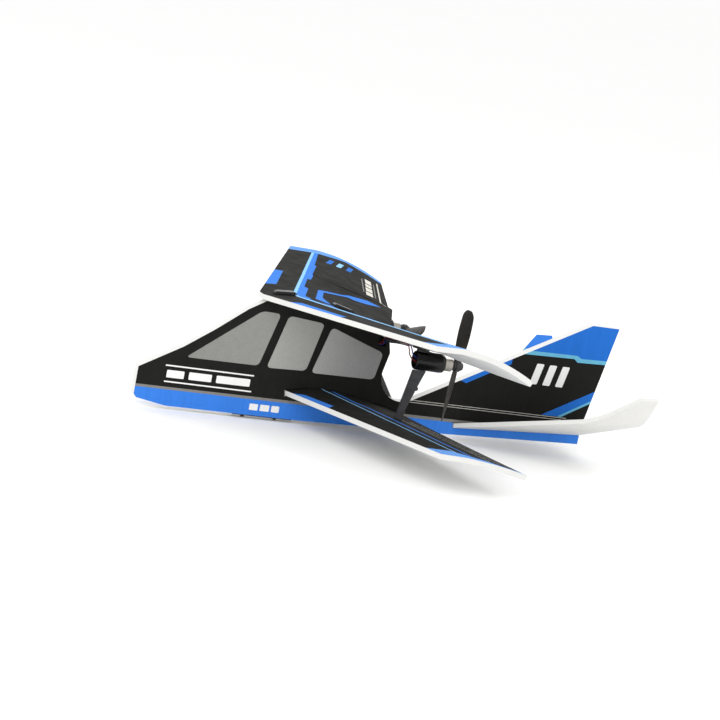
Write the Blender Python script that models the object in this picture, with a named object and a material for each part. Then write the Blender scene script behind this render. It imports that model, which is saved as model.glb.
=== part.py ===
"""Foam biplane glider with two pusher motors, modelled as its separate pieces.

Frame: metres, +Z up, nose towards -X, port (left) wing towards -Y.
Outlines are drawn in millimetres from two datums, as on an aircraft drawing:
a station is the distance aft of the nose, a waterline is the height above the
pinstripe on the fuselage side. place() turns them into world metres.
"""
import math

import bmesh
import bpy
from mathutils import Matrix, Vector

MM = 0.001
NOSE_X = -134.4          # world X of station 0, so that the box is centred on X = 0
DATUM_Z = 11.6           # world Z of waterline 0, so that the lowest piece is at Z = 0
GAP = 0.3                # clearance between pieces that touch

# --- foam parts ---
BOARD = 6.0              # fuselage board thickness
SHEET = 2.8              # wing and tailplane sheet thickness
ROOT_LAND = 3.4          # half width of the flat strip in the middle of each sheet
CREASE = 0.26            # chord fraction where the wings' flat front panel ends
CHORDWISE = [0.0, CREASE / 2] + [CREASE + (1 - CREASE) * step / 8 for step in range(9)]

# Each wing: its root leading edge, how far it sweeps back and rises per millimetre of span, where
# its two tip corners are, and sections: (share of the span, chord, front slope, rear slope, droop).
UPPER_WING = {
    "le": (60.0, 56.3), "sweep": 0.437, "rise_out": 0.060, "tip_y": (125.0, 119.0),
    "sections": ((0.0, 77.6, 0.060, 0.10, 0.222), (0.335, 73.7, 0.035, 0.29, -0.075),
                 (0.445, 72.4, 0.030, 0.20, 0.070), (0.472, 69.4, 0.030, 0.18, 0.100),
                 (1.0, 57.4, -0.005, 0.08, 0.305)),
}
LOWER_WING = {
    "le": (82.3, 5.9), "sweep": 0.388, "rise_out": 0.026, "tip_y": (121.2, 118.6),
    "sections": ((0.0, 68.0, 0.170, 0.055, 0.16), (1.0, 50.1, -0.050, 0.09, 0.11)),
}
UPPER_SPANWISE = (0.0, 0.15, 0.335, 0.445, 0.472, 0.73, 1.0)
LOWER_SPANWISE = (0.0, 0.25, 0.5, 0.75, 1.0)
TAIL_SHEET = 2.4                # tailplane sheet thickness
TAIL_ROOT = (181.8, -1.5)       # leading edge of the tailplane at the fuselage
TAIL_REAR = 257.4               # its trailing edge there
TAIL_SLOPE = 0.052              # rise of the tailplane for each millimetre aft
TAIL_BENDS = ((57.0, 20.3), (72.0, 52.7))   # spanwise place and angle of the bend's two ends
TAIL_TIP = 84.6                 # half span measured along the sheet

# --- power units, one each side ---
MOTOR_Y = 42.3
HUB_STATION, HUB_WATERLINE = 158.1, 38.4
THRUST_TILT = 1.6               # degrees, rear end low
POD_RADIUS, POD_BORE, POD_LENGTH = 5.1, 3.9, 16.4
CAN_RADIUS, CAN_LENGTH, CAN_SHOWS = 3.5, 16.0, 4.8
HUB_GAP = 0.9            # between the can and the propeller hub
CAP_LENGTH = 1.3
SHAFT_RADIUS, SHAFT_BORE = 0.4, 0.75
PROP_RADIUS = 30.8
PROP_REST = {"left": 3.5, "right": 79.0}     # degrees that a blade leans to port from upright
STRUT_Y = 1.6                   # strut thickness
STRUT_GAP = 0.15                # between the strut's head and the pod
WIRE_RADIUS = 0.35

SIDES = {"left": -1, "right": 1}


def place(station, side_y, waterline):
    return Vector(((station + NOSE_X) * MM, side_y * MM, (waterline + DATUM_Z) * MM))


def clear_scene():
    for old in list(bpy.data.objects):
        bpy.data.objects.remove(old, do_unlink=True)


def material(name, colour, roughness, metallic=0.0):
    made = bpy.data.materials.new(name)
    made.use_nodes = True
    shader = made.node_tree.nodes["Principled BSDF"]
    shader.inputs["Base Color"].default_value = (*colour, 1.0)
    shader.inputs["Roughness"].default_value = roughness
    shader.inputs["Metallic"].default_value = metallic
    made.diffuse_color = (*colour, 1.0)
    return made


def add_object(name, mesh, look=None):
    made = bpy.data.objects.new(name, mesh)
    bpy.context.scene.collection.objects.link(made)
    if look:
        mesh.materials.append(look)
    return made


def close_mesh(name, bm, look=None):
    bmesh.ops.remove_doubles(bm, verts=bm.verts, dist=1e-7)
    bmesh.ops.recalc_face_normals(bm, faces=bm.faces)
    mesh = bpy.data.meshes.new(name)
    bm.to_mesh(mesh)
    bm.free()
    return add_object(name, mesh, look)


def smooth(made, degrees=35.0):
    made.data.shade_smooth()
    made.data.set_sharp_from_angle(angle=math.radians(degrees))


def prism(name, points, offset, look=None):
    """A closed solid: the polygon of world points, pushed along offset."""
    bm = bmesh.new()
    face = bm.faces.new([bm.verts.new(point) for point in points])
    pushed = bmesh.ops.extrude_face_region(bm, geom=[face])
    verts = [item for item in pushed["geom"] if isinstance(item, bmesh.types.BMVert)]
    bmesh.ops.translate(bm, verts=verts, vec=offset)
    bmesh.ops.triangulate(bm, faces=bm.faces)
    return close_mesh(name, bm, look)


def side_plate(name, outline, y_from, y_to, look=None):
    """A flat piece that stands in the fuselage's plane, from a side-view outline."""
    points = [place(station, y_from, waterline) for station, waterline in outline]
    return prism(name, points, Vector((0.0, (y_to - y_from) * MM, 0.0)), look)


def block(name, stations, side_ys, waterlines, look=None):
    low, high = stations
    outline = [(low, waterlines[0]), (high, waterlines[0]), (high, waterlines[1]), (low, waterlines[1])]
    return side_plate(name, outline, side_ys[0], side_ys[1], look)


def turned(name, profile, hollow=False, look=None, segments=28):
    """A body of revolution about local X. The profile is (along, radius) in millimetres."""
    bm = bmesh.new()
    rings = []
    for along, radius in profile:
        ring = []
        for step in range(segments):
            turn = 2 * math.pi * step / segments
            spot = (along * MM, radius * math.cos(turn) * MM, radius * math.sin(turn) * MM)
            ring.append(bm.verts.new(spot) if radius or not ring else ring[0])
        rings.append(ring)
    pairs = list(zip(rings, rings[1:] + rings[:1] if hollow else rings[1:]))
    for first, second in pairs:
        for step in range(segments):
            after = (step + 1) % segments
            corners = dict.fromkeys((first[step], first[after], second[after], second[step]))
            if len(corners) > 2:
                bm.faces.new(list(corners))
    made = close_mesh(name, bm, look)
    smooth(made)
    return made


def cut(target, cutter, operation="DIFFERENCE"):
    cutter.hide_render = True
    cutter.display_type = "WIRE"
    step = target.modifiers.new(cutter.name, "BOOLEAN")
    step.operation = operation
    step.object = cutter
    step.solver = "EXACT"


def arc(centre, radius, start, end, steps):
    """Points on a circle in the side view, angles in degrees."""
    turns = [math.radians(start + (end - start) * step / steps) for step in range(steps + 1)]
    return [(centre[0] + radius * math.cos(turn), centre[1] + radius * math.sin(turn)) for turn in turns]


# ------------------------------------------------------------------ foam sheets

def blend(root, tip, outward):
    return root + (tip - root) * outward


def wing_section(wing, outward):
    """Chord, front slope, rear slope and droop at a share of the span."""
    sections = wing["sections"]
    for inner, outer in zip(sections, sections[1:]):
        if outward <= outer[0]:
            break
    share = (outward - inner[0]) / (outer[0] - inner[0])
    return [blend(a, b, share) for a, b in zip(inner[1:], outer[1:])]


def wing_point(wing, outward, chordwise, side=1, depth=0.0):
    """A point of a wing: outward 0 (root) to 1 (tip), chordwise 0 to 1, depth below its top."""
    le_y, te_y = wing["tip_y"]
    y = ROOT_LAND + (blend(le_y, te_y, chordwise) - ROOT_LAND) * outward
    chord, rise, start, curve = wing_section(wing, outward)
    front = min(chordwise, CREASE)
    rear = max(chordwise - CREASE, 0.0)
    station = wing["le"][0] + wing["sweep"] * (le_y - ROOT_LAND) * outward + chord * chordwise
    waterline = wing["le"][1] + wing["rise_out"] * (y - ROOT_LAND)
    waterline += chord * (rise * front - start * rear - curve * rear ** 2)
    ahead, behind = rise, -(start + 2 * curve * rear)
    slope = blend(ahead, behind, min(max((chordwise - CREASE) * 1e6 + 0.5, 0.0), 1.0))
    steep = math.hypot(1.0, slope)
    return place(station + depth * slope / steep, side * y, waterline - depth / steep)


def wing_height(wing, station, y, depth=0.0):
    """Waterline of a wing's top, or of a place below it, over a station and a distance from the middle."""
    le_y, te_y = wing["tip_y"]
    share = 0.5
    for _ in range(6):
        outward = (abs(y) - ROOT_LAND) / (blend(le_y, te_y, share) - ROOT_LAND)
        leading = wing["le"][0] + wing["sweep"] * (le_y - ROOT_LAND) * outward
        share = (station - leading) / wing_section(wing, outward)[0]
    return wing_point(wing, outward, share).z / MM - DATUM_Z - depth


def tail_angle(along):
    (inner, inner_angle), (outer, outer_angle) = TAIL_BENDS
    if along < ROOT_LAND:
        return 0.0
    share = min(max((along - inner) / (outer - inner), 0.0), 1.0)
    return math.radians(blend(inner_angle, outer_angle, share))


def tail_section(along, steps=120):
    """Where the bent sheet is, in Y and up, at a distance along it from the middle."""
    y = up = 0.0
    for step in range(steps):
        angle = tail_angle(along * (step + 0.5) / steps)
        y += along / steps * math.cos(angle)
        up += along / steps * math.sin(angle)
    return y, up


def tail_edges(along):
    """Leading and trailing edge stations of the flat cut sheet."""
    leading = TAIL_ROOT[0] + 0.90 * max(along - ROOT_LAND, 0.0)
    corner = 58.75
    trailing = TAIL_REAR + 8.4 * min(along, corner) / corner - 1.0 * max(along - corner, 0.0) / 25.0
    return leading, trailing


def tail_point(along, chordwise, side=1):
    y, up = tail_section(along)
    leading, trailing = tail_edges(along)
    station = blend(leading, trailing, chordwise)
    waterline = TAIL_ROOT[1] + up + TAIL_SLOPE * (station - TAIL_ROOT[0])
    return place(station, side * y, waterline)


def foam_sheet(name, rows, thick, look):
    """A sheet from rows of points on its top, thickened downwards."""
    bm = bmesh.new()
    grid = [[bm.verts.new(point) for point in row] for row in rows]
    for row, after in zip(grid, grid[1:]):
        for index in range(len(row) - 1):
            bm.faces.new((row[index], row[index + 1], after[index + 1], after[index]))
    bmesh.ops.recalc_face_normals(bm, faces=bm.faces)
    bm.normal_update()
    if sum(face.normal.z for face in bm.faces) < 0:
        bmesh.ops.reverse_faces(bm, faces=bm.faces)
    mesh = bpy.data.meshes.new(name)
    bm.to_mesh(mesh)
    bm.free()
    made = add_object(name, mesh, look)
    solid = made.modifiers.new("thickness", "SOLIDIFY")
    solid.thickness = thick * MM
    solid.offset = -1.0
    solid.use_even_offset = True
    smooth(made)
    return made


def wing_rows(wing, outward):
    left = [[wing_point(wing, out, share, -1) for share in CHORDWISE] for out in reversed(outward)]
    right = [[wing_point(wing, out, share, 1) for share in CHORDWISE] for out in outward]
    return left + right


def tail_rows():
    inner, outer = TAIL_BENDS[0][0], TAIL_BENDS[1][0]
    alongs = [ROOT_LAND, 30.0, inner, inner + 5, inner + 10, outer, TAIL_TIP]
    chordwise = [step / 4 for step in range(5)]
    left = [[tail_point(along, share, -1) for share in chordwise] for along in reversed(alongs)]
    right = [[tail_point(along, share, 1) for share in chordwise] for along in alongs]
    return left + right


# ------------------------------------------------------------------ fuselage

def tail_slot_top(station):
    return TAIL_ROOT[1] + TAIL_SLOPE * (station - TAIL_ROOT[0]) + GAP


def tail_slot_floor(station):
    return tail_slot_top(station) - TAIL_SHEET - 2 * GAP


def fuselage_outline():
    """Side view, from the nose along the windshield, cabin, notch, fin, tail and belly."""
    windshield = [(0.0, 9.7), (22.5, 23.0), (38.0, 34.3), (54.0, 47.2), (62.5, 52.4)]
    under_wing = []
    for step in range(9):
        spot = wing_point(UPPER_WING, 0.0, 0.05 + 0.94 * step / 8, 1, SHEET + GAP + 0.1)
        under_wing.append((spot.x / MM - NOSE_X, spot.z / MM - DATUM_Z))
    cabin_rear = [(137.2, 33.0)]
    notch = arc((148.5, 20.5), 13.6, 166.5, 299.0, 9)
    fin = [(252.7, 62.4), (268.9, 62.4), (259.2, 10.6), (257.6, tail_slot_top(257.6))]
    tail_slot = [(TAIL_SLOT_LE, tail_slot_top(TAIL_SLOT_LE)), (TAIL_SLOT_LE, tail_slot_floor(TAIL_SLOT_LE)),
                 (258.0, tail_slot_floor(258.0))]
    belly = [(257.9, -5.4), (173.4, -8.3), (92.0, -9.8), (18.0, -9.8)]
    nose = [(1.6, -7.0), (0.0, -5.2)]
    return windshield + under_wing + cabin_rear + notch + fin + tail_slot + belly + nose


TAIL_SLOT_LE = TAIL_ROOT[0] - GAP    # closed front end of the tail's slot, which is open at the rear
POCKET_Y = 2.3                  # half width of the hollow for the electronics
NOTCH_STATIONS = (129.3, 134.2)  # where the motor wires leave the cabin's top edge
NOTCH_FLOOR = 36.2
CLIP_STATIONS = {"front": 73.0, "rear": 107.0}


def cabin_top(station):
    """Waterline of the upper wing's top surface on the centreline."""
    return wing_height(UPPER_WING, station, ROOT_LAND)


def build_fuselage(foam):
    board = side_plate("fuselage_board", fuselage_outline(), -BOARD / 2, BOARD / 2, foam)
    through = BOARD / 2 + 1.0
    slot = []
    shares = [-0.007] + CHORDWISE[1:-1] + [1.007]
    for depth, order in ((-GAP - 0.1, shares), (SHEET + GAP + 0.1, shares[::-1])):
        for share in order:
            spot = wing_point(LOWER_WING, 0.0, share, 1, depth)
            slot.append((spot.x / MM - NOSE_X, spot.z / MM - DATUM_Z))
    cut(board, side_plate("wing_slot_cutter", slot, -through, through))
    pocket = [(26.0, -6.8), (54.3, -6.8), (55.3, -12.0), (89.6, -12.0), (89.6, -7.6),
              (78.0, -7.6), (78.0, 4.2), (71.9, 6.6), (26.0, 6.6)]
    cut(board, side_plate("pocket_cutter", pocket, -POCKET_Y, POCKET_Y))
    tunnel = [(72.2, 5.0), (77.8, 4.0), (77.8, 10.8), (134.0, 36.4), (134.0, 39.2), (131.5, 39.0),
              (72.2, 12.6)]
    cut(board, side_plate("wire_tunnel_cutter", tunnel, -1.3, 1.3))
    cut(board, block("wire_notch_cutter", NOTCH_STATIONS, (-through, through), (NOTCH_FLOOR, 45.0)))
    for end, station in CLIP_STATIONS.items():
        top = cabin_top(station)
        pocket_cutter = block(f"clip_pocket_cutter_{end}", (station - 4.1, station + 4.1), (-1.2, 1.2),
                              (top - 12.4, top))
        cut(board, pocket_cutter)
    return board


# ------------------------------------------------------------------ wing clips and struts

def build_clip(end, station, plastic):
    """A flat-headed clip that pins the upper wing to the cabin: head above, barbed stem below."""
    top = cabin_top(station)
    slope = (cabin_top(station + 5.0) - cabin_top(station - 5.0)) / 10.0
    head = []
    for along, up in ((-6.0, GAP), (6.0, GAP), (6.0, 1.0), (4.8, 1.6), (-4.8, 1.6), (-6.0, 1.0)):
        head.append((station + along, top + along * slope + up + 0.15))
    clip = side_plate(f"wing_clip_{end}", head, -2.2, 2.2, plastic)
    stem = [(station - 3.6, top + 0.8), (station + 3.6, top + 0.8), (station + 3.6, top - 9.6),
            (station + 2.2, top - 11.6), (station - 2.2, top - 11.6), (station - 3.6, top - 9.6)]
    cut(clip, side_plate(f"clip_stem_{end}", stem, -0.8, 0.8), "UNION")
    return clip


STRUT_FOOT = (131.4, 136.6)     # stations of the strut's foot on the lower wing
STRUT_HEAD = (136.2, 143.4)     # and of its head under the motor pod
PEG = (132.6, 135.4)


def peg_cutter(name, middle, waterlines):
    """Cuts the hole that a strut's peg goes through."""
    return block(name, (PEG[0] - 0.35, PEG[1] + 0.35), (middle - 1.15, middle + 1.15), waterlines)


def build_strut(name, side, plastic):
    front, middle, rear = (wing_height(LOWER_WING, station, MOTOR_Y) + GAP + 0.1 for station in
                           (STRUT_FOOT[0], PEG[0], STRUT_FOOT[1]))
    head = thrust_waterline(STRUT_HEAD[1]) - POD_RADIUS - STRUT_GAP
    below = middle - SHEET - 3.2
    outline = [(STRUT_FOOT[0], front), (PEG[0], middle), (PEG[0], below), (PEG[1], below), (PEG[1], middle),
               (STRUT_FOOT[1], rear), (135.5, 9.0), (136.4, 9.4), (136.5, 10.6), (135.9, 11.2),
               (139.6, 22.4), (140.8, 22.8), (141.0, 24.2), (140.3, 24.8), (STRUT_HEAD[1], head),
               (STRUT_HEAD[0], head)]
    centre = side * MOTOR_Y
    return side_plate(name, outline, centre - STRUT_Y / 2, centre + STRUT_Y / 2, plastic)


def build_strut_foot(name, side, plastic):
    """The locking plate under the lower wing, which the strut's peg goes through."""
    middle = side * MOTOR_Y
    half = 2.6
    points = []
    for station, dy in ((129.6, -half), (138.4, -half), (138.4, half), (129.6, half)):
        y = middle + dy
        points.append(place(station, y, wing_height(LOWER_WING, station, y, SHEET + GAP + 0.2)))
    foot = prism(name, points, Vector((0.0, 0.0, -1.1 * MM)), plastic)
    cut(foot, peg_cutter(f"{name}_hole", middle, (-12.0, 12.0)))
    return foot


# ------------------------------------------------------------------ power units

def thrust_line(name, side):
    """An empty at the propeller hub's front face, with local X along the motor's axis, aft."""
    line = bpy.data.objects.new(name, None)
    bpy.context.scene.collection.objects.link(line)
    line.location = place(HUB_STATION, side * MOTOR_Y, HUB_WATERLINE)
    line.rotation_euler = (0.0, math.radians(THRUST_TILT), 0.0)
    return line


def under_upper_wing(station, y, gap):
    """A world point this far under the upper wing, whose sloped sheet is a little thicker upright."""
    return place(station, y, wing_height(UPPER_WING, station, y, SHEET * 1.1 + 0.1 + gap))


def thrust_waterline(station):
    return HUB_WATERLINE + (HUB_STATION - station) * math.tan(math.radians(THRUST_TILT))


def build_pod(name, side, line, plastic):
    """The motor's tube, with a pylon and a flange that is glued under the upper wing."""
    front = -CAN_SHOWS - POD_LENGTH - HUB_GAP
    rear = front + POD_LENGTH
    profile = [(front, POD_BORE), (front, 4.6), (front + 0.6, POD_RADIUS), (rear - 2.2, POD_RADIUS - 0.1),
               (rear, POD_BORE + 0.5), (rear, POD_BORE)]
    pod = turned(name, profile, hollow=True, look=plastic)
    pod.parent = line
    middle = side * MOTOR_Y
    corners = ((134.9, -3.4), (142.2, -3.4), (142.2, 3.4), (134.9, 3.4))
    top = [under_upper_wing(station, middle + dy, GAP) for station, dy in corners]
    flange = prism(f"{name}_flange", top, Vector((0.0, 0.0, -1.1 * MM)))
    cut(pod, flange, "UNION")
    inner = middle - side * 1.5
    web = [place(station, inner, thrust_waterline(station) + 4.4) for station in (136.8, 150.0)]
    web += [under_upper_wing(station, inner, 0.5) for station in (145.4, 141.0, 136.8)]
    cut(pod, prism(f"{name}_web", web, Vector((0.0, side * 3.0 * MM, 0.0))), "UNION")
    return pod


def build_motor(tag, line, metal, shaft_metal, cap_plastic):
    rear = -HUB_GAP
    front = rear - CAN_LENGTH
    cap_front = front - GAP - CAP_LENGTH
    can_profile = [(front, 0.0), (front, CAN_RADIUS - 0.3), (front + 0.3, CAN_RADIUS),
                   (rear - 0.4, CAN_RADIUS), (rear, CAN_RADIUS - 0.4), (rear, SHAFT_BORE),
                   (rear - 3.0, SHAFT_BORE), (rear - 3.0, 0.0)]
    can = turned(f"motor_can_{tag}", can_profile, look=metal)
    cap_profile = [(cap_front, 0.0), (cap_front, 2.7), (cap_front + 0.3, 3.0), (front - GAP, 3.0),
                   (front - GAP, 0.0)]
    cap = turned(f"motor_end_cap_{tag}", cap_profile, look=cap_plastic)
    shaft_profile = [(rear - 2.6, 0.0), (rear - 2.6, SHAFT_RADIUS), (3.9, SHAFT_RADIUS), (3.9, 0.0)]
    shaft = turned(f"motor_shaft_{tag}", shaft_profile, look=shaft_metal, segments=12)
    for piece in (can, cap, shaft):
        piece.parent = line
    return can, cap, shaft


def blade_section(radius, spin):
    """Eight points around a blade at a radius: a thin lens, twisted less towards the tip."""
    share = radius / PROP_RADIUS
    chord = 2.6 + 5.2 * math.sin(math.pi * min(share * 0.62 + 0.05, 0.5))
    if share > 0.86:
        chord *= math.sqrt(max(1.0 - ((share - 0.86) / 0.15) ** 2, 0.05))
    thick = blend(1.5, 0.7, share)
    pitch = math.radians(blend(60.0, 26.0, share))
    middle = blend(2.0, 1.7, share)
    points = []
    for step in range(8):
        turn = 2 * math.pi * step / 8
        across = chord / 2 * math.cos(turn)
        through = thick / 2 * math.sin(turn)
        along = across * math.sin(pitch) + through * math.cos(pitch)
        sideways = (across * math.cos(pitch) - through * math.sin(pitch)) * spin
        points.append(Vector(((along + middle) * MM, sideways * MM, radius * MM)))
    return points


def build_propeller(name, side, line, plastic):
    """Two twisted blades on a moulded hub. The left and right propellers are mirror images."""
    hub_profile = [(4.2, 0.0), (4.2, SHAFT_BORE), (0.0, SHAFT_BORE), (0.0, 2.6), (0.4, 3.1), (3.6, 3.1),
                   (5.4, 1.9), (5.4, 0.0)]
    hub = turned(name, hub_profile, look=plastic)
    tag = "left" if side < 0 else "right"
    hub.parent = line
    hub.rotation_euler = (math.radians(PROP_REST[tag]), 0.0, 0.0)
    for number in range(2):
        bm = bmesh.new()
        radii = [1.4, 3.2, 6.0, 10.0, 15.0, 20.0, 25.0, 28.0, 30.2, PROP_RADIUS]
        rings = [[bm.verts.new(point) for point in blade_section(radius, side)] for radius in radii]
        for ring, after in zip(rings, rings[1:]):
            for step in range(8):
                bm.faces.new((ring[step], ring[(step + 1) % 8], after[(step + 1) % 8], after[step]))
        bm.faces.new(rings[0])
        bm.faces.new(rings[-1])
        bmesh.ops.rotate(bm, verts=bm.verts, cent=(0, 0, 0), matrix=Matrix.Rotation(math.pi * number, 3, "X"))
        blade = close_mesh(f"{name}_blade_{number}", bm)
        blade.parent = hub
        cut(hub, blade, "UNION")
    return hub


# ------------------------------------------------------------------ wires

def smooth_route(points, spacing):
    """Points about one spacing apart on a Catmull-Rom curve through the given points."""
    ends = [2 * points[0] - points[1]] + points + [2 * points[-1] - points[-2]]
    fine = []
    for before, start, end, after in zip(ends, ends[1:], ends[2:], ends[3:]):
        for step in range(24):
            t = step / 24
            squared = (2 * before - 5 * start + 4 * end - after) * t ** 2
            cubed = (3 * start - before - 3 * end + after) * t ** 3
            fine.append(0.5 * (2 * start + (end - before) * t + squared + cubed))
    fine.append(points[-1])
    route = [fine[0]]
    for spot in fine:
        if (spot - route[-1]).length >= spacing:
            route.append(spot)
    if (route[-1] - points[-1]).length < spacing / 2:
        route.pop()
    return route + [points[-1]]


def wire_route(side, lane):
    """Circuit board, up the tunnel, out under the wing, down the pod's front, to the motor."""
    lane_y = side * 0.55
    apart = 0.54 * lane
    cap_front = HUB_STATION - HUB_GAP - CAN_LENGTH - CAP_LENGTH - 2 * GAP
    points = [place(75.2 - apart, lane_y, 5.4), place(75.2 - apart, lane_y, 9.2)]
    for station in (80.0, 92.0, 106.0, 120.0):
        points.append(place(station - apart * 0.4, lane_y, 12.9 + (station - 77.6) * 0.4555 + apart))
    points.append(place(129.4 - apart * 0.6, lane_y * 1.2, 36.4 + apart * 0.9))
    points.append(place(132.3 - apart, side * 2.4, 37.6 + apart * 0.2))
    for y in (5.0, 12.0, 22.0, 31.0):
        points.append(under_upper_wing(132.3 - apart, side * y, 0.6))
    points.append(under_upper_wing(132.6 - apart, side * 37.0, 0.8))
    points.append(place(133.0 - apart, side * 40.6, 45.2 - apart * 0.6))
    points.append(place(133.4 - apart * 1.3, side * (MOTOR_Y - 0.2), 42.2 - apart * 1.3))
    points.append(place(135.6, side * MOTOR_Y, 39.6 - apart * 2.0))
    points.append(place(cap_front, side * MOTOR_Y, 39.0 - apart * 2.0))
    return points


def build_wire(name, side, lane, look):
    route = smooth_route(wire_route(side, lane), 6.0 * WIRE_RADIUS * MM)
    data = bpy.data.curves.new(name, "CURVE")
    data.dimensions = "3D"
    data.bevel_depth = WIRE_RADIUS * MM
    data.bevel_resolution = 2
    data.use_fill_caps = True
    line = data.splines.new("POLY")
    line.points.add(len(route) - 1)
    for point, spot in zip(line.points, route):
        point.co = (*spot, 1.0)
    data.materials.append(look)
    made = bpy.data.objects.new(name, data)
    bpy.context.scene.collection.objects.link(made)
    return made


def build_wire_tape(name, side, tape):
    """A strip of black tape that holds the wires up under the wing."""
    corners = ((130.0, 1.3), (135.0, 1.3), (135.0, 1.7), (130.0, 1.7))    # station, depth under the wing
    bm = bmesh.new()
    rings = []
    for y in (6.5, 15.0, 25.0, 34.0):
        ring = []
        for station, depth in corners:
            ring.append(bm.verts.new(under_upper_wing(station, side * y, depth)))
        rings.append(ring)
    for ring, after in zip(rings, rings[1:]):
        for step in range(4):
            bm.faces.new((ring[step], ring[(step + 1) % 4], after[(step + 1) % 4], after[step]))
    bm.faces.new(rings[0])
    bm.faces.new(rings[-1])
    return close_mesh(name, bm, tape)


# ------------------------------------------------------------------ electronics in the belly

PLATE = (-10.5, -9.4)           # bottom and top waterlines of the belly plate
SWITCH = (59.4, 67.1)           # stations of the slide switch's body
SWITCH_SLOT = (60.3, 66.2)      # and of the slot that its knob slides in
KNOB = (61.0, 62.9)             # the knob at the front end of its travel
SOCKET = (69.5, 74.5)           # stations of the charging socket
WALL = 0.5                      # thickness of the socket's metal wall
CHIP_Y = (0.8, 1.9)             # the chips' sides, on the starboard face of the circuit board


def build_electronics(looks):
    half = POCKET_Y - GAP
    plate = block("belly_plate", (55.8, 89.2), (-half, half), PLATE, looks["black_plastic"])
    through = (PLATE[0] - 1.5, PLATE[1] + 1.4)
    cut(plate, block("switch_slot_cutter", SWITCH_SLOT, (-0.9, 0.9), through))
    cut(plate, block("socket_hole_cutter", (SOCKET[0] - 0.4, SOCKET[1] + 0.4), (-1.5, 1.5), through))
    board_low, board_high, notch_low = -4.6, 3.4, -5.0
    circuit = [(56.0, board_low), (60.0, board_low), (60.0, notch_low), (68.2, notch_low), (68.2, board_low),
               (77.2, board_low), (77.2, board_high), (56.0, board_high)]
    side_plate("circuit_board", circuit, -0.5, 0.5, looks["board_green"])
    block("radio_chip", (61.0, 66.0), CHIP_Y, (-2.6, 2.0), looks["chip_black"])
    block("motor_driver_chip", (69.5, 73.0), CHIP_Y, (-2.2, 1.2), looks["chip_black"])
    cell = block("battery_cell", (27.4, 53.4), (-1.9, 1.9), (-6.2, 5.8), looks["cell_silver"])
    edges = cell.modifiers.new("soft_edges", "BEVEL")
    edges.width = 0.8 * MM
    edges.segments = 2
    body = block("switch_body", SWITCH, (-1.6, 1.6), (-8.9, notch_low - GAP), looks["switch_metal"])
    track = (SWITCH_SLOT[0] + GAP, SWITCH_SLOT[1] - GAP)
    cut(body, block("switch_track_cutter", track, (-0.8, 0.8), (-10.0, -7.2)))
    block("power_switch_knob", KNOB, (-0.5, 0.5), (-11.6, -7.6), looks["black_plastic"])
    socket = block("charge_socket", SOCKET, (-1.2, 1.2), (-10.2, -5.0), looks["switch_metal"])
    mouth = (SOCKET[0] + WALL, SOCKET[1] - WALL)
    cut(socket, block("socket_mouth_cutter", mouth, (WALL - 1.2, 1.2 - WALL), (-12.0, -6.4)))
    block("charge_tongue", (mouth[0] + 0.4, mouth[1] - 0.4), (-0.25, 0.25), (-9.4, -6.8), looks["chip_black"])
    block("belly_peg", (79.2, 80.8), (-0.7, 0.7), (-11.5, PLATE[0] - GAP), looks["black_plastic"])


# ------------------------------------------------------------------ assembly

def build():
    clear_scene()
    looks = {
        "foam": material("foam", (0.93, 0.93, 0.92), 0.6),
        "black_plastic": material("black_plastic", (0.02, 0.02, 0.02), 0.4),
        "board_green": material("board_green", (0.03, 0.22, 0.10), 0.5),
        "chip_black": material("chip_black", (0.03, 0.03, 0.03), 0.5),
        "cell_silver": material("cell_silver", (0.62, 0.62, 0.64), 0.35, 0.6),
        "switch_metal": material("switch_metal", (0.70, 0.70, 0.70), 0.3, 1.0),
        "motor_steel": material("motor_steel", (0.75, 0.73, 0.70), 0.25, 1.0),
        "cap_white": material("cap_white", (0.85, 0.85, 0.82), 0.5),
        "red_wire": material("red_wire", (0.65, 0.03, 0.03), 0.4),
        "blue_wire": material("blue_wire", (0.03, 0.08, 0.60), 0.4),
        "black_tape": material("black_tape", (0.03, 0.03, 0.03), 0.7),
    }
    build_fuselage(looks["foam"])
    upper = foam_sheet("upper_wing", wing_rows(UPPER_WING, UPPER_SPANWISE), SHEET, looks["foam"])
    lower = foam_sheet("lower_wing", wing_rows(LOWER_WING, LOWER_SPANWISE), SHEET, looks["foam"])
    foam_sheet("tailplane", tail_rows(), TAIL_SHEET, looks["foam"])
    for end, station in CLIP_STATIONS.items():
        build_clip(end, station, looks["black_plastic"])
        top = cabin_top(station)
        through = (top - 9.0, top + 5.0)
        cut(upper, block(f"clip_hole_cutter_{end}", (station - 4.0, station + 4.0), (-1.1, 1.1), through))
    for tag, side in SIDES.items():
        cut(lower, peg_cutter(f"peg_hole_cutter_{tag}", side * MOTOR_Y, (-8.0, 20.0)))
        line = thrust_line(f"thrust_line_{tag}", side)
        build_pod(f"motor_pod_{tag}", side, line, looks["black_plastic"])
        build_motor(tag, line, looks["motor_steel"], looks["motor_steel"], looks["cap_white"])
        build_propeller(f"propeller_{tag}", side, line, looks["black_plastic"])
        build_strut(f"strut_{tag}", side, looks["black_plastic"])
        build_strut_foot(f"strut_foot_{tag}", side, looks["black_plastic"])
        build_wire(f"motor_wire_red_{tag}", side, 1, looks["red_wire"])
        build_wire(f"motor_wire_blue_{tag}", side, -1, looks["blue_wire"])
        build_wire_tape(f"wire_tape_{tag}", side, looks["black_tape"])
    build_electronics(looks)


build()
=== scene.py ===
"""Looks, light and camera for the foam biplane glider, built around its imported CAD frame.

Frame: metres, +Z up, nose towards -X, port (left) wing towards -Y. Prints are laid out on the flat foam:
millimetres aft of the nose and above the pinstripe on the fuselage, millimetres out from the middle and
a share of the chord on the wings and the tailplane.
"""
import math

import bmesh
import bpy
from mathutils import Matrix, Vector
from mathutils.geometry import delaunay_2d_cdt


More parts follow.
